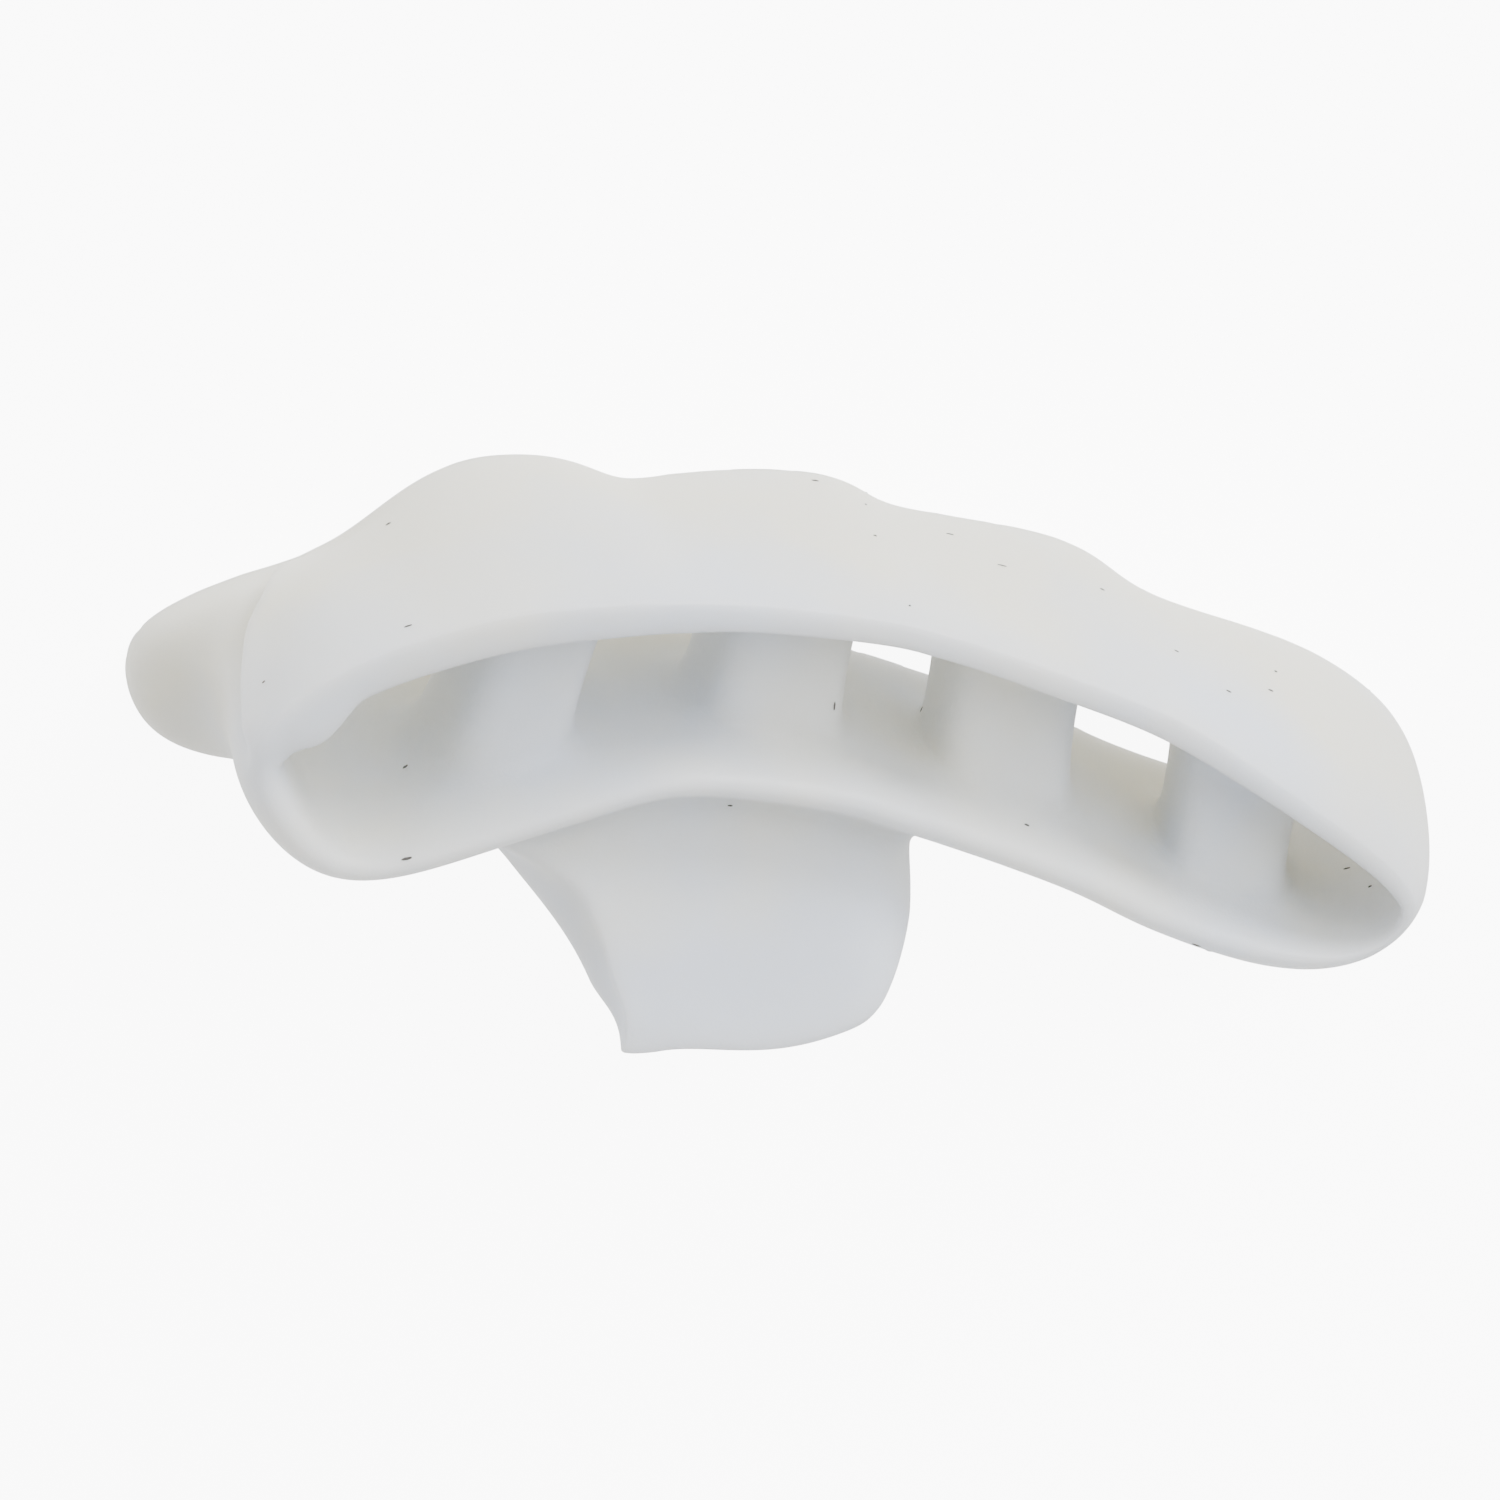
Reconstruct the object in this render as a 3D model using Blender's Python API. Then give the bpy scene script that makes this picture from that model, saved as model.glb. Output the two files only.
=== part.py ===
"""Silicone toe corrector, moulded in one piece and lying on its far rims.

X runs along the band with the big toe at -X, Y points to the top of the foot, and Z is the
way the toes go through. The floor is Z = 0.
"""

import bmesh
import bpy
from mathutils import Matrix, Vector

MM = 0.001

# Band: a long flattened tube, a little longer at its far side than at its mouth
MOUTH_LENGTH = 90 * MM
FAR_LENGTH = 99 * MM
FAR_SHIFT = 2.6 * MM
BAND_HEIGHT = 16 * MM
BAND_DEPTH = 21.5 * MM
BELLY = 2 * MM
TOP_WALL = 2.6 * MM
FOOT_WALL = 3.2 * MM
END_WALL = 3.2 * MM
RIM_INSET = 0.4 * MM

# Depth of the flange that the big toe's end flares into, at the far side
FLANGE_DEPTH = 2.6 * MM

# Columns between the toes, set back from both rims
COLUMN_FAR_SETBACK = 5.6 * MM
COLUMN_MOUTH_SETBACK = 4.5 * MM
COLUMN_WAIST = 0.9 * MM

# Tongue under the middle toes
TONGUE_DROP = 16 * MM
TONGUE_WIDTH = 22 * MM

# How sharp the edges stay when the surface is smoothed
FAR_RIM_CREASE = 1.0
MOUTH_CREASE = 0.9
COLUMN_CREASE = 0.4
TONGUE_CREASE = 0.6

SILICONE_COLOUR = (0.79, 0.79, 0.77, 1.0)
SILICONE_ROUGHNESS = 0.45
SMOOTHING_LEVELS = 2

# Where the band's outer surface runs, a row for each station from the big toe to the little
# one. along is a share of the length; the heights are shares of BAND_HEIGHT above the base
# line, at the mouth and at the far side; wall is a share of the wall's thickness.
STATIONS = [
    # name, along, mouth_top, mouth_foot, far_top, far_foot, wall
    ("big_end", 0.022, 0.46, -0.10, 0.29, -0.28, 1.2),
    ("big_outer", 0.080, 0.72, -0.40, 0.49, -0.38, 1.4),
    ("big_middle", 0.145, 0.86, -0.39, 0.62, -0.28, 1.4),
    ("first_left", 0.198, 0.97, -0.27, 1.09, -0.10, 1.4),
    ("first_right", 0.300, 1.04, -0.03, 1.14, 0.08, 1.25),
    ("second_middle", 0.340, 1.05, 0.06, 0.99, 0.14, 1.2),
    ("second_left", 0.380, 1.06, 0.10, 1.09, 0.19, 1.1),
    ("second_right", 0.498, 1.02, 0.04, 1.15, 0.15, 1.0),
    ("third_middle", 0.533, 0.97, -0.03, 1.00, 0.11, 1.0),
    ("third_left", 0.566, 0.94, -0.07, 0.97, 0.06, 1.0),
    ("third_right", 0.690, 0.74, -0.27, 0.91, -0.13, 1.0),
    ("fourth_middle", 0.732, 0.67, -0.37, 0.73, -0.23, 1.0),
    ("fourth_left", 0.772, 0.58, -0.46, 0.61, -0.31, 1.0),
    ("fourth_right", 0.888, 0.22, -0.63, 0.48, -0.49, 0.85),
    ("little_end", 0.965, -0.02, -0.53, 0.23, -0.42, 0.70),
]
BIG_TIP = ("big_tip", 0.0, 0.16, 0.08, 1.2)
LITTLE_TIP = ("little_tip", 1.0, -0.26, -0.12, 0.80)

# How far the surface stands out between the two rims, as shares of BELLY: at the flange's
# layer, at the columns' far side and at their near side. The big toe's end is drawn in
# behind the mouth and flares out again into the flange.
USUAL_BELLY = (0.1, 0.2, 0.2)
TOP_BELLIES = {
    "big_tip": (0.1, -3.2, -0.5),
    "big_end": (0.0, -0.9, 0.1),
    "big_outer": (-0.3, 0.9, 0.5),
    "big_middle": (0.0, 1.0, 0.5),
    "fourth_left": (0.2, 0.3, 0.3),
    "fourth_right": (0.4, 0.7, 0.8),
    "little_end": (0.5, 0.9, 1.0),
    "little_tip": (0.5, 0.9, 0.9),
}
FOOT_BELLIES = {
    "big_end": (0.2, -2.8, -0.5),
    "big_outer": (0.1, -1.2, 0.0),
    "big_middle": (0.0, 0.0, 0.2),
    "fourth_left": (0.2, 0.3, 0.4),
    "fourth_right": (0.4, 0.6, 0.6),
    "little_end": (0.5, 0.8, 0.7),
}

# Stations that start a column, which ends at the next station
COLUMNS = ["first_left", "second_left", "third_left", "fourth_left"]

# The tongue grows from the foot between these two stations
TONGUE_FROM = "first_left"
TONGUE_TO = "third_left"

# Tongue sections from its root to its tip. near is the side towards the mouth. Drops are
# shares of TONGUE_DROP below the base line, at the big toe's side; lean is how much less it
# drops at the other side; lefts and rights are shares of TONGUE_WIDTH from the middle of the
# band, and levels are shares of BAND_DEPTH above the floor.
TONGUE_SECTIONS = [
    # near_drop, far_drop, lean, near_left, near_right, far_left, far_right, near, far level
    (0.30, 0.44, 0.00, -0.82, 0.29, -1.06, 0.50, 0.86, 0.52),
    (0.62, 0.76, 0.08, -0.70, 0.27, -0.74, 0.42, 0.99, 0.70),
    (1.06, 1.05, 0.27, -0.65, 0.19, -0.66, 0.20, 1.14, 1.02),
]


def layer_heights():
    """Heights of the rings above the floor, from the far rim to the mouth."""
    return [0.0, FLANGE_DEPTH, COLUMN_FAR_SETBACK,
            BAND_DEPTH - COLUMN_MOUTH_SETBACK, BAND_DEPTH]


def band_point(along, mouth_up, far_up, height):
    """A point of the outer surface, between the far outline and the mouth's."""
    share = height / BAND_DEPTH
    mouth_x = (along - 0.5) * MOUTH_LENGTH
    far_x = (along - 0.5) * FAR_LENGTH + FAR_SHIFT
    up = far_up + (mouth_up - far_up) * share
    return Vector((far_x + (mouth_x - far_x) * share, up * BAND_HEIGHT, height))


def ring_rows():
    """The ring's points in order: top row, little tip, foot row, big tip.

    Each is (along, mouth height, far height, bellies, wall share).
    """
    top, foot = [], []
    for name, along, mouth_top, mouth_foot, far_top, far_foot, wall in STATIONS:
        top.append((along, mouth_top, far_top, TOP_BELLIES.get(name, USUAL_BELLY), wall))
        foot.append((along, mouth_foot, far_foot, FOOT_BELLIES.get(name, USUAL_BELLY), wall))
    ends = []
    for name, along, mouth, far, wall in (LITTLE_TIP, BIG_TIP):
        ends.append((along, mouth, far, TOP_BELLIES[name], wall))
    return top + ends[:1] + foot[::-1] + ends[1:]


def outline(layer, height):
    """One ring of the outer surface, at a layer counted from the far rim."""
    rows = ring_rows()
    ring = [band_point(row[0], row[1], row[2], height) for row in rows]
    if height in (0.0, BAND_DEPTH):
        return offset_ring(ring, [RIM_INSET] * len(ring))
    return offset_ring(ring, [-row[3][layer - 1] * BELLY for row in rows])


def outward(ring, index):
    """Direction out of a ring at one of its points, in the ring's own plane."""
    chord = ring[(index + 1) % len(ring)] - ring[index - 1]
    return Vector((-chord.y, chord.x, 0.0)).normalized()


def wall_at(index):
    """Wall thickness at a point of the ring."""
    count = len(STATIONS)
    share = ring_rows()[index][4]
    if index in (0, count - 1, count, count + 1, 2 * count, 2 * count + 1):
        return END_WALL * share
    return TOP_WALL * share if index < count else FOOT_WALL


def offset_ring(ring, distances):
    """A ring moved inwards by a distance at each of its points."""
    return [point - outward(ring, i) * distances[i] for i, point in enumerate(ring)]


def add_tube(mesh, heights):
    """Outer and inner rings with their walls; gives the rings' vertices."""
    outer_rings, inner_rings = [], []
    for layer, height in enumerate(heights):
        ring = outline(layer, height)
        walls = [wall_at(i) for i in range(len(ring))]
        if layer in (0, len(heights) - 1):
            walls = [wall - 2 * RIM_INSET for wall in walls]
        outer_rings.append([mesh.verts.new(point) for point in ring])
        inner_rings.append([mesh.verts.new(point) for point in offset_ring(ring, walls)])
    size = len(outer_rings[0])
    for low, high in zip(range(len(heights) - 1), range(1, len(heights))):
        for rings in (outer_rings, inner_rings):
            for i in range(size):
                j = (i + 1) % size
                mesh.faces.new((rings[low][i], rings[low][j], rings[high][j], rings[high][i]))
    for layer in (0, -1):
        for i in range(size):
            j = (i + 1) % size
            mesh.faces.new((outer_rings[layer][i], outer_rings[layer][j],
                            inner_rings[layer][j], inner_rings[layer][i]))
    return outer_rings, inner_rings


def foot_index(station):
    """Place in the ring of a station's foot point."""
    return 2 * len(STATIONS) - station


def remove_face(mesh, corners):
    """Take away the face between four vertices, and keep its edges."""
    mesh.faces.remove(mesh.faces.get(corners))


def station_number(name):
    """Number of the station with a name."""
    return [row[0] for row in STATIONS].index(name)


def add_columns(mesh, far, near, crease):
    """Bridge the roof and the floor with a column at each named station, between two rings."""
    for name in COLUMNS:
        station = station_number(name)
        left, right = foot_index(station), foot_index(station + 1)
        roof = [far[station], far[station + 1], near[station + 1], near[station]]
        floor = [far[left], far[right], near[right], near[left]]
        remove_face(mesh, roof)
        remove_face(mesh, floor)
        middles = [(top.co + low.co) / 2 for top, low in zip(roof, floor)]
        centre = sum(middles, Vector()) / len(middles)
        waist = [point - (point - centre).normalized() * COLUMN_WAIST for point in middles]
        belt = [mesh.verts.new(point) for point in waist]
        for i in range(len(belt)):
            j = (i + 1) % len(belt)
            mesh.faces.new((roof[i], roof[j], belt[j], belt[i]))
            mesh.faces.new((belt[i], belt[j], floor[j], floor[i]))
        for top, middle, low in zip(roof, belt, floor):
            mesh.edges.get((top, middle))[crease] = COLUMN_CREASE
            mesh.edges.get((middle, low))[crease] = COLUMN_CREASE


def section_row(mesh, steps, left, right, level, drop, lean):
    """One edge of a tongue section, from the big toe's side to the little toe's."""
    row = []
    for i in range(steps + 1):
        share = i / steps
        x = (left + (right - left) * share) * TONGUE_WIDTH
        y = -(drop - lean * share) * TONGUE_DROP
        row.append(mesh.verts.new((x, y, level * BAND_DEPTH)))
    return row


def add_tongue(mesh, far, near, crease):
    """Draw the tongue out of the foot between two rings, and close its tip."""
    first, last = station_number(TONGUE_FROM), station_number(TONGUE_TO)
    places = [foot_index(station) for station in range(first, last + 1)]
    for left, right in zip(places, places[1:]):
        remove_face(mesh, [far[left], far[right], near[right], near[left]])
    bare = [edge for edge in mesh.edges if not edge.link_faces]
    bmesh.ops.delete(mesh, geom=bare, context="EDGES")
    far_row = [far[place] for place in places]
    near_row = [near[place] for place in places]
    steps = last - first
    for section in TONGUE_SECTIONS:
        near_drop, far_drop, lean, near_left, near_right, far_left, far_right = section[:7]
        near_level, far_level = section[7:]
        new_far = section_row(mesh, steps, far_left, far_right, far_level, far_drop, lean)
        new_near = section_row(mesh, steps, near_left, near_right, near_level, near_drop, lean)
        for i in range(steps):
            mesh.faces.new((far_row[i], far_row[i + 1], new_far[i + 1], new_far[i]))
            mesh.faces.new((near_row[i], near_row[i + 1], new_near[i + 1], new_near[i]))
        for i in (0, steps):
            mesh.faces.new((far_row[i], near_row[i], new_near[i], new_far[i]))
        mesh.edges.get((near_row[0], new_near[0]))[crease] = TONGUE_CREASE
        far_row, near_row = new_far, new_near
    for i in range(steps):
        mesh.faces.new((far_row[i], far_row[i + 1], near_row[i + 1], near_row[i]))
    mesh.edges.get((far_row[0], near_row[0]))[crease] = TONGUE_CREASE


def crease_rims(mesh, outer_rings, inner_rings, crease):
    """Keep the far rim flat, and the top of the mouth's rim crisp."""
    size = len(outer_rings[0])
    top = [*range(len(STATIONS)), size - 1]
    for ring in (outer_rings[0], inner_rings[0]):
        for i in range(size):
            mesh.edges.get((ring[i], ring[(i + 1) % size]))[crease] = FAR_RIM_CREASE
    for ring in (outer_rings[-1], inner_rings[-1]):
        for i in top:
            mesh.edges.get((ring[i], ring[(i + 1) % size]))[crease] = MOUTH_CREASE


def silicone():
    """Milky silicone rubber."""
    material = bpy.data.materials.new("milky_silicone")
    material.use_nodes = True
    shader = material.node_tree.nodes["Principled BSDF"]
    shader.inputs["Base Color"].default_value = SILICONE_COLOUR
    shader.inputs["Roughness"].default_value = SILICONE_ROUGHNESS
    shader.inputs["Metallic"].default_value = 0.0
    return material


def build_body():
    """The whole moulding as one closed smooth body."""
    cage = bmesh.new()
    crease = cage.edges.layers.float.new("crease_edge")
    outer_rings, inner_rings = add_tube(cage, layer_heights())
    add_columns(cage, inner_rings[-3], inner_rings[-2], crease)
    add_tongue(cage, outer_rings[-3], outer_rings[-2], crease)
    crease_rims(cage, outer_rings, inner_rings, crease)
    bmesh.ops.recalc_face_normals(cage, faces=cage.faces)
    mesh = bpy.data.meshes.new("toe_band")
    cage.to_mesh(mesh)
    cage.free()
    body = bpy.data.objects.new("toe_band", mesh)
    bpy.context.scene.collection.objects.link(body)
    mesh.materials.append(silicone())
    mesh.shade_smooth()
    smooth = body.modifiers.new("moulded_smoothness", "SUBSURF")
    smooth.levels = SMOOTHING_LEVELS
    smooth.render_levels = SMOOTHING_LEVELS
    return body


def centre_on_floor(body):
    """Move the body's mesh so that the middle of its underside is at the origin."""
    smoothed = body.evaluated_get(bpy.context.evaluated_depsgraph_get()).to_mesh()
    low = Vector(min(vertex.co[axis] for vertex in smoothed.vertices) for axis in range(3))
    high = Vector(max(vertex.co[axis] for vertex in smoothed.vertices) for axis in range(3))
    middle = (low + high) / 2
    body.data.transform(Matrix.Translation((-middle.x, -middle.y, -low.z)))


def main():
    """Clear the scene and model the toe corrector."""
    for old in list(bpy.data.objects):
        bpy.data.objects.remove(old)
    centre_on_floor(build_body())


main()
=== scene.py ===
"""Silicone toe corrector: one milky moulding on a pale floor, in soft studio light."""

from __future__ import annotations

import logging
import math
from dataclasses import dataclass, field
from enum import Enum
from typing import Any

import bmesh
import bpy
from mathutils import Matrix, Vector

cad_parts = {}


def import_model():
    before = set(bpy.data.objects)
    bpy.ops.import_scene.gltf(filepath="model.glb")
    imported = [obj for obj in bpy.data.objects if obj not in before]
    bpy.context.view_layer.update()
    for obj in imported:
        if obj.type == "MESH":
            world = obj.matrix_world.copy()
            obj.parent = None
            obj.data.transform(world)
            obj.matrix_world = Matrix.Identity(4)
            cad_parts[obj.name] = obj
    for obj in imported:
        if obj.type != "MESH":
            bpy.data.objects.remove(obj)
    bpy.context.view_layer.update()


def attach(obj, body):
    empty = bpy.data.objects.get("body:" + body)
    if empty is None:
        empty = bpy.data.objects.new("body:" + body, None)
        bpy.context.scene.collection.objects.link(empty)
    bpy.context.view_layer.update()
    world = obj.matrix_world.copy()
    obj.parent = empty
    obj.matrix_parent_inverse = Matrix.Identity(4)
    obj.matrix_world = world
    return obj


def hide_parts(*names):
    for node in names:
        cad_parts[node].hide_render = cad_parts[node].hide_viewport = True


LOG = logging.getLogger("toe_corrector")

MM = 0.001
Colour = tuple[float, float, float, float]


class Sum(Enum):
    """The sums that a pattern's expression may use."""

    ADD = "ADD"
    SUBTRACT = "SUBTRACT"
    MULTIPLY = "MULTIPLY"
    LOWER = "MINIMUM"


class Lamp(Enum):
    """The studio lamps, by the side of the picture that they stand on."""

    KEY = "key_upper_right"
    FILL = "fill_front"
    LOW = "low_front"


class Trees:
    """Adds nodes to one node tree, for materials and for geometry alike."""

    def __init__(self, tree: bpy.types.NodeTree) -> None:
        """Start on a tree.

        Args:
            tree: The node tree to fill.
        """
        self.tree = tree

    def node(self, kind: str, settings: dict[str, Any] | None = None,
             inputs: dict[str | int, Any] | None = None) -> bpy.types.Node:
        """Add a node.

        Args:
            kind: The node's type.
            settings: Properties of the node, which are set first.
            inputs: Values or links of its sockets, by name or number.

        Returns:
            The new node.
        """
        node = self.tree.nodes.new(kind)
        for name, value in (settings or {}).items():
            setattr(node, name, value)
        for key, value in (inputs or {}).items():
            socket = node.inputs[key]
            if isinstance(value, Value):
                value = value.socket
            if isinstance(value, bpy.types.NodeSocket):
                self.tree.links.new(value, socket)
            else:
                socket.default_value = value
        return node

    def value(self, socket: bpy.types.NodeSocket) -> Value:
        """Wrap a number socket for expressions."""
        return Value(self, socket)


@dataclass(frozen=True)
class Value:
    """A number socket that can be used in expressions."""

    trees: Trees
    socket: bpy.types.NodeSocket

    def _sum(self, kind: Sum, left: Value | float, right: Value | float) -> Value:
        """Add the Math node of one operator.

        Args:
            kind: The operation.
            left: First operand.
            right: Second operand.

        Returns:
            The node's result.
        """
        node = self.trees.node("ShaderNodeMath", {"operation": kind.value},
                               {0: left, 1: right})
        return Value(self.trees, node.outputs[0])

    def __add__(self, other: Value | float) -> Value:
        """This value plus another."""
        return self._sum(Sum.ADD, self, other)

    def __radd__(self, other: float) -> Value:
        """A number plus this value."""
        return self._sum(Sum.ADD, other, self)

    def __sub__(self, other: Value | float) -> Value:
        """This value minus another."""
        return self._sum(Sum.SUBTRACT, self, other)

    def __rsub__(self, other: float) -> Value:
        """A number minus this value."""
        return self._sum(Sum.SUBTRACT, other, self)

    def __mul__(self, other: Value | float) -> Value:
        """This value times another."""
        return self._sum(Sum.MULTIPLY, self, other)

    def __rmul__(self, other: float) -> Value:
        """A number times this value."""
        return self._sum(Sum.MULTIPLY, other, self)

    def at_most(self, limit: float) -> Value:
        """The lower of this value and a limit."""
        return self._sum(Sum.LOWER, self, limit)


@dataclass(frozen=True)
class MilkySilicone:
    """Translucent silicone rubber with the faint clouds and satin skin of a moulding, and a
    painted shade tint that warms towards the hollows.
    """

    cool: Colour = (0.70, 0.74, 0.81, 1.0)
    warm: Colour = (0.80, 0.785, 0.70, 1.0)
    cloud_scale: float = 48.0
    cloud_contrast: float = 2.8
    warmth_at_mouth: float = 0.35
    painted_tint_by_depth: float = 26.0
    painted_tint_by_height: float = 8.0
    mouth_level: float = 21.0 * MM
    skin_scale: float = 3600.0
    skin_height: float = 0.05 * MM
    roughness: float = 0.42
    roughness_spread: float = 0.14
    scatter_depth: float = 4.0 * MM
    scatter_weight: float = 1.0
    refraction: float = 1.41

    def material(self) -> bpy.types.Material:
        """Make the material.

        Returns:
            The finished material.
        """
        material = bpy.data.materials.new("milky_silicone")
        material.use_nodes = True
        material.node_tree.nodes.clear()
        trees = Trees(material.node_tree)
        place = trees.node("ShaderNodeTexCoord").outputs["Object"]
        clouds = trees.node("ShaderNodeTexNoise", None, {
            "Vector": place, "Scale": self.cloud_scale, "Detail": 3.0, "Roughness": 0.5})
        skin = trees.node("ShaderNodeTexNoise", None, {
            "Vector": place, "Scale": self.skin_scale, "Detail": 4.0, "Roughness": 0.6})
        grain = trees.value(skin.outputs["Fac"])
        drift = trees.value(clouds.outputs["Fac"])
        parts = trees.node("ShaderNodeSeparateXYZ", None, {0: place})
        depth = self.mouth_level - trees.value(parts.outputs["Z"])
        height = trees.value(parts.outputs["Y"])
        # Painted shade and light tint over the random clouds: warmer further back from the
        # mouth into the shaded hollows and higher up, cooler on the low tongue.
        warmth = ((drift - 0.5) * self.cloud_contrast + depth * self.painted_tint_by_depth
                  + height * self.painted_tint_by_height + self.warmth_at_mouth)
        tint = trees.node("ShaderNodeMix", {"data_type": "RGBA"}, {
            "Factor": warmth, 6: self.cool, 7: self.warm})
        roughness = self.roughness + (grain - 0.5) * self.roughness_spread + (drift - 0.5) * 0.1
        bump = trees.node("ShaderNodeBump", None, {
            "Strength": 0.6, "Distance": self.skin_height, "Height": grain + drift * 2.0})
        shader = trees.node("ShaderNodeBsdfPrincipled", {"subsurface_method": "RANDOM_WALK"}, {
            "Base Color": tint.outputs[2], "Roughness": roughness,
            "Normal": bump.outputs["Normal"], "IOR": self.refraction,
            "Subsurface Weight": self.scatter_weight,
            "Subsurface Radius": (1.0, 0.95, 0.9),
            "Subsurface Scale": self.scatter_depth})
        trees.node("ShaderNodeOutputMaterial", None, {"Surface": shader.outputs["BSDF"]})
        return material


@dataclass(frozen=True)
class DustSpeck:
    """Dull grey of the lint and dust that clings to soft rubber."""

    pale: Colour = (0.16, 0.155, 0.145, 1.0)
    dark: Colour = (0.05, 0.045, 0.04, 1.0)
    roughness: float = 0.9

    def material(self) -> bpy.types.Material:
        """Make the material.

        Returns:
            The finished material.
        """
        material = bpy.data.materials.new("dust_speck")
        material.use_nodes = True
        material.node_tree.nodes.clear()
        trees = Trees(material.node_tree)
        place = trees.node("ShaderNodeTexCoord").outputs["Object"]
        patch = trees.node("ShaderNodeTexNoise", None, {"Vector": place, "Scale": 150.0})
        tint = trees.node("ShaderNodeMix", {"data_type": "RGBA"}, {
            "Factor": trees.value(patch.outputs["Fac"]), 6: self.pale, 7: self.dark})
        shader = trees.node("ShaderNodeBsdfPrincipled", None, {
            "Base Color": tint.outputs[2], "Roughness": self.roughness})
        trees.node("ShaderNodeOutputMaterial", None, {"Surface": shader.outputs["BSDF"]})
        return material


@dataclass(frozen=True)
class StudioFloor:
    """Plain pale floor, lit from below like a shooting table.

    It shows white, and sends only a little of that light on to the object.
    """

    pale: Colour = (0.95, 0.95, 0.95, 1.0)
    roughness: float = 0.85
    glow_on_object: float = 0.8
    glow_seen: float = 9.0

    def material(self) -> bpy.types.Material:
        """Make the material.

        Returns:
            The finished material.
        """
        material = bpy.data.materials.new("studio_floor")
        material.use_nodes = True
        material.node_tree.nodes.clear()
        trees = Trees(material.node_tree)
        seen = trees.node("ShaderNodeLightPath").outputs["Is Camera Ray"]
        lighting = self._shader(trees, self.glow_on_object)
        shown = self._shader(trees, self.glow_seen)
        surface = trees.node("ShaderNodeMixShader", None, {0: seen, 1: lighting, 2: shown})
        trees.node("ShaderNodeOutputMaterial", None, {"Surface": surface.outputs[0]})
        return material

    def _shader(self, trees: Trees, glow: float) -> bpy.types.NodeSocket:
        """Add the floor's shader at one strength of light from below.

        Args:
            trees: The material's tree.
            glow: Strength of the light.

        Returns:
            The shader's output.
        """
        return trees.node("ShaderNodeBsdfPrincipled", None, {
            "Base Color": self.pale, "Roughness": self.roughness,
            "Emission Color": self.pale, "Emission Strength": glow}).outputs["BSDF"]


def geometry_tree(name: str, numbers: dict[str, float]) -> tuple[Trees, dict[str, str],
                                                                 bpy.types.Node]:
    """Start a geometry tree with a geometry input and output and named numbers.

    Args:
        name: The tree's name.
        numbers: Names of the number inputs, with the values they start from.

    Returns:
        The tree's builder, the identifier of each number input, and the input node.
    """
    group = bpy.data.node_groups.new(name, "GeometryNodeTree")
    group.interface.new_socket("Geometry", in_out="INPUT", socket_type="NodeSocketGeometry")
    group.interface.new_socket("Geometry", in_out="OUTPUT", socket_type="NodeSocketGeometry")
    keys = {}
    for label, value in numbers.items():
        socket = group.interface.new_socket(label, in_out="INPUT",
                                            socket_type="NodeSocketFloat")
        socket.default_value = value
        keys[label] = socket.identifier
    trees = Trees(group)
    return trees, keys, trees.node("NodeGroupInput")


def settle(piece: bpy.types.Object, name: str) -> bpy.types.Object:
    """Turn a piece's live modifiers into one plain mesh.

    Args:
        piece: The object with its modifiers.
        name: Name of the finished object.

    Returns:
        The finished object, at the origin.
    """
    graph = bpy.context.evaluated_depsgraph_get()
    mesh = bpy.data.meshes.new_from_object(piece.evaluated_get(graph), depsgraph=graph)
    piece.modifiers.clear()
    bpy.data.objects.remove(piece)
    mesh.name = name
    done = bpy.data.objects.new(name, mesh)
    bpy.context.scene.collection.objects.link(done)
    return done


@dataclass(frozen=True)
class Press:
    """A soft push on the surface, as a thumb would give it; all in millimetres."""

    centre: tuple[float, float, float]
    push: tuple[float, float, float]
    reach: float

    def move(self, point: Vector) -> Vector:
        """How far a point moves.

        Args:
            point: Place of the point in metres.

        Returns:
            The move in metres, which fades to nothing at the press's reach.
        """
        away = (point - Vector(self.centre) * MM).length / (self.reach * MM)
        fade = max(0.0, 1.0 - away * away) ** 2
        return Vector(self.push) * (MM * fade)


@dataclass(frozen=True)
class CollarFold:
    """The step where the collar stands over the flange; the route is in millimetres."""

    route: tuple[tuple[float, float, float], ...] = (
        (-36.6, 8.6, -0.6), (-39.8, 8.5, 3.4), (-42.4, 8.05, 7.4), (-44.1, 6.35, 10.3),
        (-45.4, 4.8, 14.8), (-46.2, 3.4, 19.0))
    collar_side: tuple[float, float, float] = (0.47, 0.75, 0.40)
    stand: float = 0.75 * MM
    sink: float = 1.0 * MM
    width: float = 3.2 * MM
    step: float = 0.5 * MM
    rise: float = 3.0 * MM

    def move(self, point: Vector, normal: Vector) -> Vector:
        """How far a point of the skin moves.

        Args:
            point: Place of the point in metres.
            normal: Direction out of the skin there.

        Returns:
            The move in metres: outwards on the collar's side, inwards on the flange's.
        """
        stops = [Vector(stop) * MM for stop in self.route]
        nearest = None
        for start, end in zip(stops, stops[1:]):
            share = (point - start).dot(end - start) / (end - start).length_squared
            offset = point - start.lerp(end, min(1.0, max(0.0, share)))
            if nearest is None or offset.length < nearest.length:
                nearest = offset
        fade = max(0.0, 1.0 - nearest.length / self.width) ** 2
        fade *= min(1.0, max(0.0, point.z / self.rise))
        across = nearest.dot(Vector(self.collar_side)) / self.step
        height = self.stand if across > 0.0 else self.sink
        return normal * (fade * height * min(1.0, max(-1.0, across)))


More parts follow.
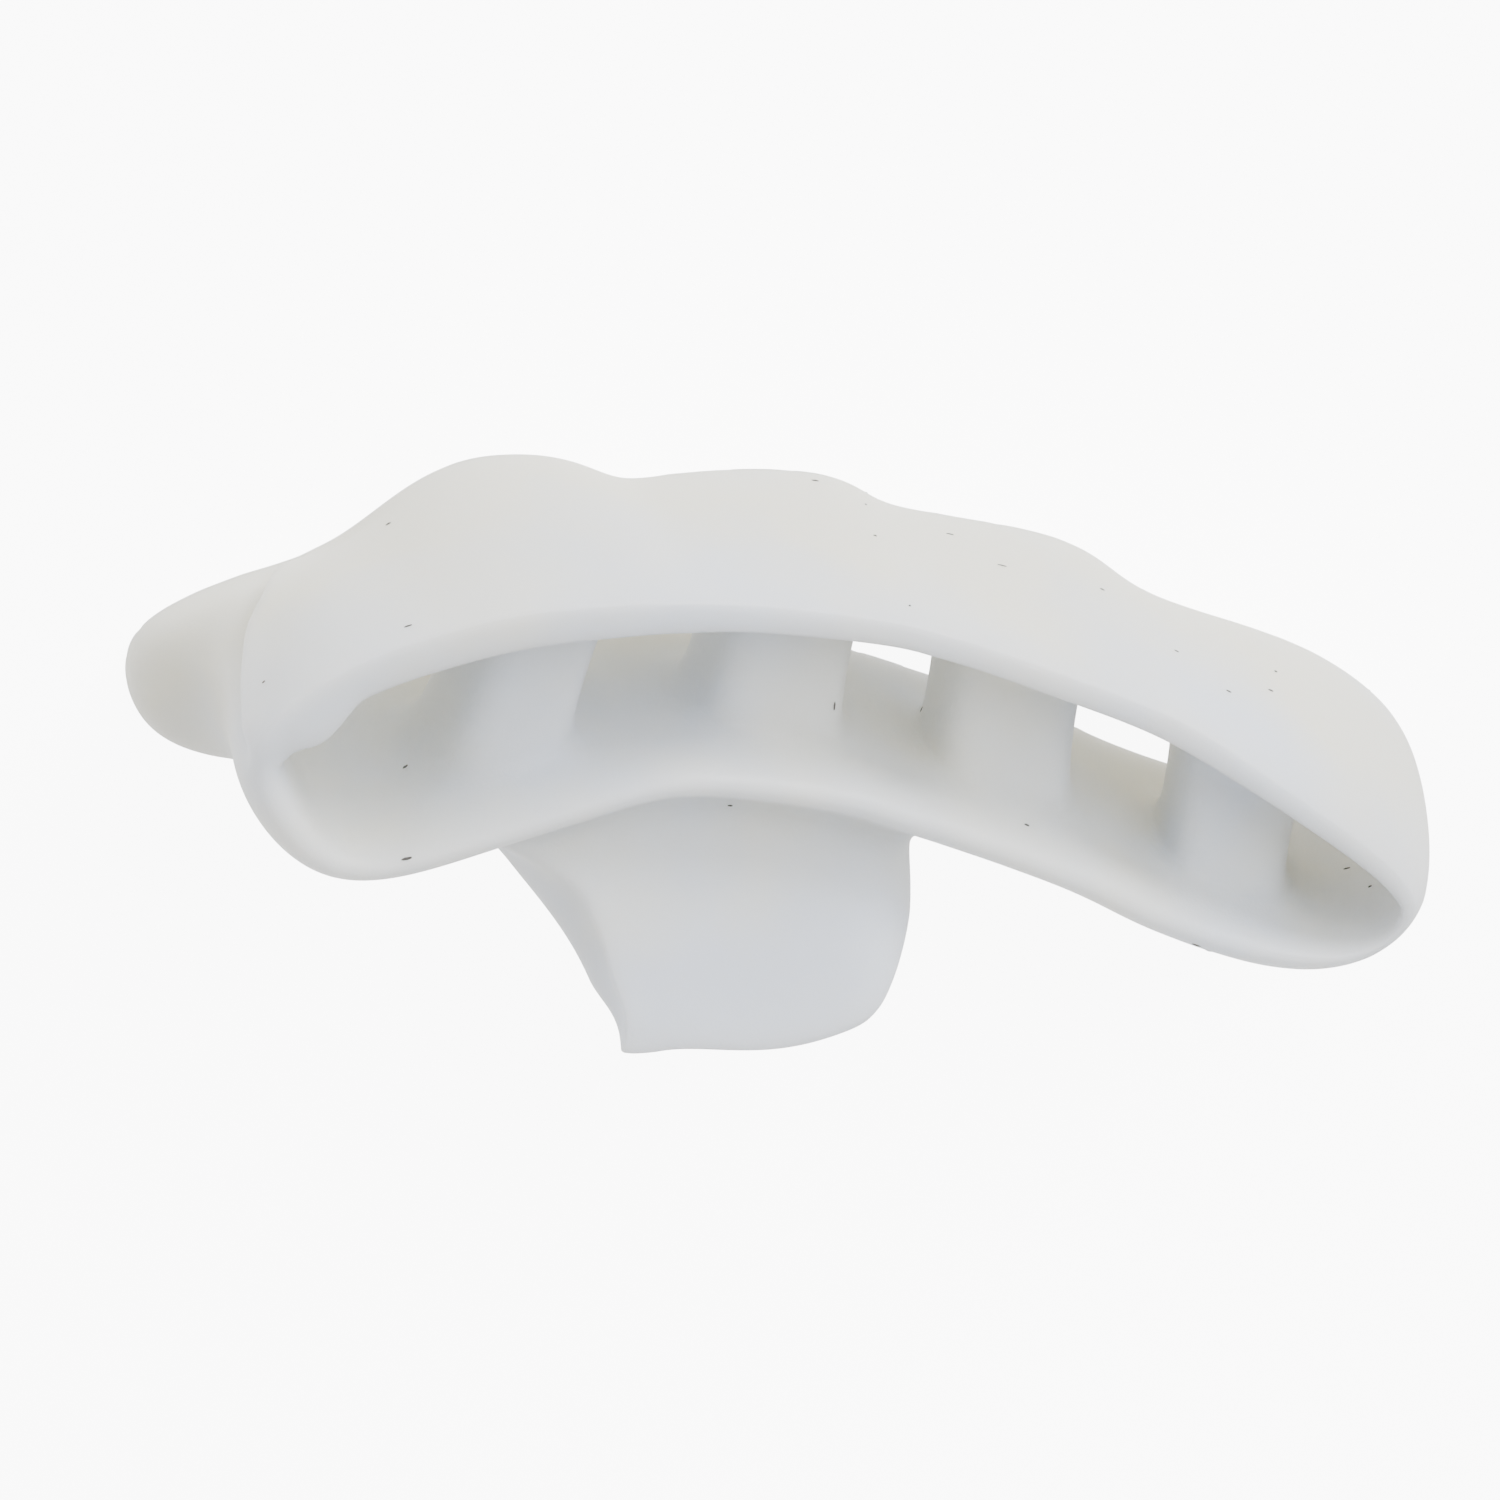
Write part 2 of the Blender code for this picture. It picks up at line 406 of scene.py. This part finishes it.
@dataclass
class ToeBand:
    """The moulded band with its columns and its tongue."""

    node: str = "toe_band"
    merge_distance: float = 0.002 * MM
    smoothing_levels: int = 2
    edge_angle: float = math.radians(32.0)
    edge_crease: float = 0.5
    soft_rounds: int = 30
    hollow_depths: tuple[float, float] = (3.0 * MM, 18.0 * MM)
    tongue_level: float = -8.0 * MM
    slot_middle: tuple[tuple[float, float], ...] = (
        (-48.0, 1.8), (-32.0, 3.4), (-10.0, 8.6), (15.0, 3.4), (33.0, -3.8), (48.0, -7.0))
    fold: CollarFold = field(default_factory=CollarFold)
    presses: tuple[Press, ...] = (
        Press(centre=(-5.0, -14.5, 22.5), push=(0.4, -1.3, 0.0), reach=9.0),
        Press(centre=(-17.6, -15.6, 22.0), push=(0.6, 0.5, 0.0), reach=4.0),
        Press(centre=(-41.6, 5.2, 20.8), push=(0.3, -1.1, 0.2), reach=3.2))
    ripple_height: float = 0.16 * MM
    ripple_scale: float = 95.0
    calm_height: float = 1.0 * MM
    finish: MilkySilicone = field(default_factory=MilkySilicone)
    piece: bpy.types.Object | None = None

    def build(self) -> None:
        """Make the fine surface from a merged copy of the solid."""
        piece = bpy.data.objects.new("moulding_in_work", self._patches())
        bpy.context.scene.collection.objects.link(piece)
        smooth = piece.modifiers.new("smooth_rubber", "SUBSURF")
        smooth.levels = self.smoothing_levels
        smooth.render_levels = self.smoothing_levels
        soften = piece.modifiers.new("soft_hollows", "SMOOTH")
        soften.factor = 0.5
        soften.iterations = self.soft_rounds
        soften.vertex_group = self._soft_group(piece)
        skin = piece.modifiers.new("moulded_skin", "NODES")
        skin.node_group, keys = self._skin_tree()
        skin[keys["Ripple height"]] = self.ripple_height
        skin[keys["Ripple scale"]] = self.ripple_scale
        self.piece = settle(piece, "toe_band_moulding")
        self._sculpt(self.piece.data)
        LOG.info("%s: %d faces", self.piece.name, len(self.piece.data.polygons))

    def _sculpt(self, mesh: bpy.types.Mesh) -> None:
        """Press the fold behind the collar and the small lips into the skin.

        Args:
            mesh: The finished skin, which is changed.
        """
        normals = [vertex.normal.copy() for vertex in mesh.vertices]
        for vertex, normal in zip(mesh.vertices, normals):
            move = self.fold.move(vertex.co, normal)
            for press in self.presses:
                move += press.move(vertex.co)
            vertex.co += move
            vertex.co.z = max(vertex.co.z, 0.0)
        mesh.update()

    def _soft_group(self, piece: bpy.types.Object) -> str:
        """Mark the columns, the hollows and the lower lip, which have no hard edges.

        Args:
            piece: The object in work.

        Returns:
            Name of the vertex group.
        """
        group = piece.vertex_groups.new(name="soft")
        low, high = self.hollow_depths
        for vertex in piece.data.vertices:
            place = vertex.co
            in_hollows = low < place.z < high and place.y > self.tongue_level
            on_lower_lip = place.z >= high and place.y < self._middle_at(place.x)
            if in_hollows or (on_lower_lip and place.y > self.tongue_level):
                group.add([vertex.index], 1.0, "REPLACE")
        return group.name

    def _middle_at(self, along: float) -> float:
        """Height of the slot's middle line.

        Args:
            along: Place along the band in metres.

        Returns:
            The height in metres.
        """
        stops = self.slot_middle
        for (start, low), (end, high) in zip(stops, stops[1:]):
            if along <= end * MM:
                return MM * (low + (high - low) * (along / MM - start) / (end - start))
        return MM * stops[-1][1]

    def _patches(self) -> bpy.types.Mesh:
        """Join a merged copy of the solid's triangles into four-sided patches.

        Returns:
            The patches, with a crease on each moulded edge.
        """
        solid = bpy.data.objects[self.node]
        mesh = solid.data.copy()
        mesh.transform(solid.matrix_world)
        work = bmesh.new()
        work.from_mesh(mesh)
        bmesh.ops.remove_doubles(work, verts=work.verts, dist=self.merge_distance)
        bmesh.ops.join_triangles(work, faces=work.faces, angle_face_threshold=math.pi,
                                 angle_shape_threshold=math.pi)
        crease = work.edges.layers.float.new("crease_edge")
        low, high = self.hollow_depths
        for edge in work.edges:
            middle = (edge.verts[0].co + edge.verts[1].co) / 2
            at_rim = not low < middle.z < high or middle.y < self.tongue_level
            if at_rim and edge.is_manifold and edge.calc_face_angle() > self.edge_angle:
                edge[crease] = self.edge_crease
        LOG.info("patches: %d, of which %d have three sides", len(work.faces),
                 sum(1 for face in work.faces if len(face.verts) == 3))
        work.to_mesh(mesh)
        work.free()
        return mesh

    def _skin_tree(self) -> tuple[bpy.types.NodeTree, dict[str, str]]:
        """Make the tree that gives the surface the faint ripple of a poured moulding.

        Returns:
            The tree, and the identifiers of its number inputs.
        """
        trees, keys, start = geometry_tree(
            "moulded_skin_tree", {"Ripple height": 0.0, "Ripple scale": 1.0})
        place = trees.node("GeometryNodeInputPosition").outputs[0]
        normal = trees.node("GeometryNodeInputNormal").outputs[0]
        noise = trees.node("ShaderNodeTexNoise", None, {
            "Vector": place, "Scale": start.outputs["Ripple scale"], "Detail": 1.0})
        height = trees.value(trees.node("ShaderNodeSeparateXYZ", None, {0: place}).outputs["Z"])
        calm = (height * (1.0 / self.calm_height)).at_most(1.0)
        lift = (trees.value(noise.outputs["Fac"]) - 0.5) * trees.value(
            start.outputs["Ripple height"]) * calm
        offset = trees.node("ShaderNodeVectorMath", {"operation": "SCALE"}, {
            0: normal, "Scale": lift})
        moved = trees.node("GeometryNodeSetPosition", None, {
            "Geometry": start.outputs["Geometry"], "Offset": offset.outputs[0]})
        shaded = trees.node("GeometryNodeSetShadeSmooth", None, {0: moved.outputs[0]})
        real = trees.node("GeometryNodeRealizeInstances", None, {0: shaded.outputs[0]})
        dressed = trees.node("GeometryNodeSetMaterial", None, {
            "Geometry": real.outputs[0], "Material": self.finish.material()})
        trees.node("NodeGroupOutput", None, {"Geometry": dressed.outputs[0]})
        return trees.tree, keys

    def dress(self) -> None:
        """Hide the solid that the piece stands in for, and attach the piece to what carries it.
        """
        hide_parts(self.node)
        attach(self.piece, "root")


@dataclass
class SurfaceSpecks:
    """Specks of dust and lint that cling to the rubber's skin."""

    speck_radius: float = 0.13 * MM
    per_square_metre: float = 5000.0
    seed: int = 7
    finish: DustSpeck = field(default_factory=DustSpeck)
    piece: bpy.types.Object | None = None

    def build(self, carrier: bpy.types.Object) -> None:
        """Scatter the specks over the skin of their carrier.

        Args:
            carrier: The piece that they cling to.
        """
        piece = bpy.data.objects.new("specks_in_work", carrier.data.copy())
        bpy.context.scene.collection.objects.link(piece)
        scatter = piece.modifiers.new("scattered_specks", "NODES")
        scatter.node_group, keys = self._scatter_tree()
        scatter[keys["Specks per square metre"]] = self.per_square_metre
        scatter[keys["Speck radius"]] = self.speck_radius
        self.piece = settle(piece, "surface_specks")
        LOG.info("%s: %d faces", self.piece.name, len(self.piece.data.polygons))

    def _scatter_tree(self) -> tuple[bpy.types.NodeTree, dict[str, str]]:
        """Make the tree that scatters the specks.

        Returns:
            The tree, and the identifiers of its number inputs.
        """
        trees, keys, start = geometry_tree(
            "speck_scatter_tree", {"Specks per square metre": 1.0, "Speck radius": 0.0})
        points = trees.node("GeometryNodeDistributePointsOnFaces", None, {
            "Mesh": start.outputs["Geometry"],
            "Density": start.outputs["Specks per square metre"], "Seed": self.seed})
        grain = trees.node("GeometryNodeMeshIcoSphere", None, {
            "Radius": start.outputs["Speck radius"], "Subdivisions": 1})
        spread = trees.node("FunctionNodeRandomValue", {"data_type": "FLOAT_VECTOR"}, {
            0: (0.7, 0.5, 0.4), 1: (3.6, 1.0, 0.7), "Seed": self.seed})
        placed = trees.node("GeometryNodeInstanceOnPoints", None, {
            "Points": points.outputs["Points"], "Instance": grain.outputs["Mesh"],
            "Rotation": points.outputs["Rotation"], "Scale": spread.outputs[0]})
        real = trees.node("GeometryNodeRealizeInstances", None, {0: placed.outputs[0]})
        dressed = trees.node("GeometryNodeSetMaterial", None, {
            "Geometry": real.outputs[0], "Material": self.finish.material()})
        trees.node("NodeGroupOutput", None, {"Geometry": dressed.outputs[0]})
        return trees.tree, keys

    def dress(self) -> None:
        """Declare what carries the specks."""
        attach(self.piece, "root")


@dataclass
class Studio:
    """Floor, lamps and camera of a plain product picture."""

    floor_size: float = 6.0
    floor_finish: StudioFloor = field(default_factory=StudioFloor)
    surround: Colour = (1.0, 1.0, 1.0, 1.0)
    surround_strength: float = 0.7
    toward_camera: tuple[float, float, float] = (-0.390, 0.377, 0.840)
    picture_up: tuple[float, float, float] = (-0.0496, 0.902, -0.428)
    aim: tuple[float, float, float] = (-2.24 * MM, -3.75 * MM, 1.49 * MM)
    distance: float = 0.6
    focal_length: float = 207.4

    def build(self) -> None:
        """Lay the floor, hang the lamps and set the camera."""
        self._floor()
        self._surround()
        right = Vector(self.picture_up).cross(Vector(self.toward_camera)).normalized()
        up = Vector(self.picture_up).normalized()
        toward = Vector(self.toward_camera).normalized()
        self._lamp(Lamp.KEY, right * 0.65 + up * 0.60 + toward * 0.35, 0.35, 9.0)
        self._lamp(Lamp.FILL, right * 0.4 + up * 0.2 + toward * 0.7, 0.5, 5.0)
        self._lamp(Lamp.LOW, right * 0.3 + up * -0.6 + toward * 0.6, 0.6, 2.0)
        self._camera(right, up, toward)

    def _floor(self) -> None:
        """Lay the floor."""
        half = self.floor_size / 2
        mesh = bpy.data.meshes.new("studio_floor")
        mesh.from_pydata([(-half, -half, 0), (half, -half, 0), (half, half, 0),
                          (-half, half, 0)], [], [(0, 1, 2, 3)])
        mesh.materials.append(self.floor_finish.material())
        floor = bpy.data.objects.new("studio_floor", mesh)
        bpy.context.scene.collection.objects.link(floor)

    def _surround(self) -> None:
        """Give the room its even white light."""
        world = bpy.data.worlds.new("white_room")
        world.use_nodes = True
        background = world.node_tree.nodes["Background"]
        background.inputs["Color"].default_value = self.surround
        background.inputs["Strength"].default_value = self.surround_strength
        bpy.context.scene.world = world

    def _lamp(self, lamp: Lamp, place: Vector, size: float, power: float) -> None:
        """Hang one square lamp that faces the object.

        Args:
            lamp: Which lamp it is.
            place: Where it hangs.
            size: Length of its sides.
            power: Its power in watts.
        """
        data = bpy.data.lights.new(lamp.value, "AREA")
        data.size = size
        data.energy = power
        light = bpy.data.objects.new(lamp.value, data)
        light.location = place
        light.rotation_euler = place.to_track_quat("Z", "Y").to_euler()
        bpy.context.scene.collection.objects.link(light)

    def _camera(self, right: Vector, up: Vector, toward: Vector) -> None:
        """Set the camera.

        Args:
            right: The picture's direction to the right.
            up: The picture's upward direction.
            toward: Direction from the object to the camera.
        """
        data = bpy.data.cameras.new("product_camera")
        data.lens = self.focal_length
        data.sensor_width = 36.0
        data.clip_start = 0.01
        camera = bpy.data.objects.new("product_camera", data)
        place = Vector(self.aim) + toward * self.distance
        turn = Matrix((right, up, toward)).transposed().to_4x4()
        camera.matrix_world = Matrix.Translation(place) @ turn
        bpy.context.scene.collection.objects.link(camera)
        bpy.context.scene.camera = camera


def main() -> None:
    """Build the dressed toe corrector."""
    logging.basicConfig(level=logging.INFO, format="%(name)s: %(message)s")
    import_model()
    band = ToeBand()
    band.build()
    specks = SurfaceSpecks()
    specks.build(band.piece)
    band.dress()
    specks.dress()
    Studio().build()


if __name__ == "__main__":
    main()
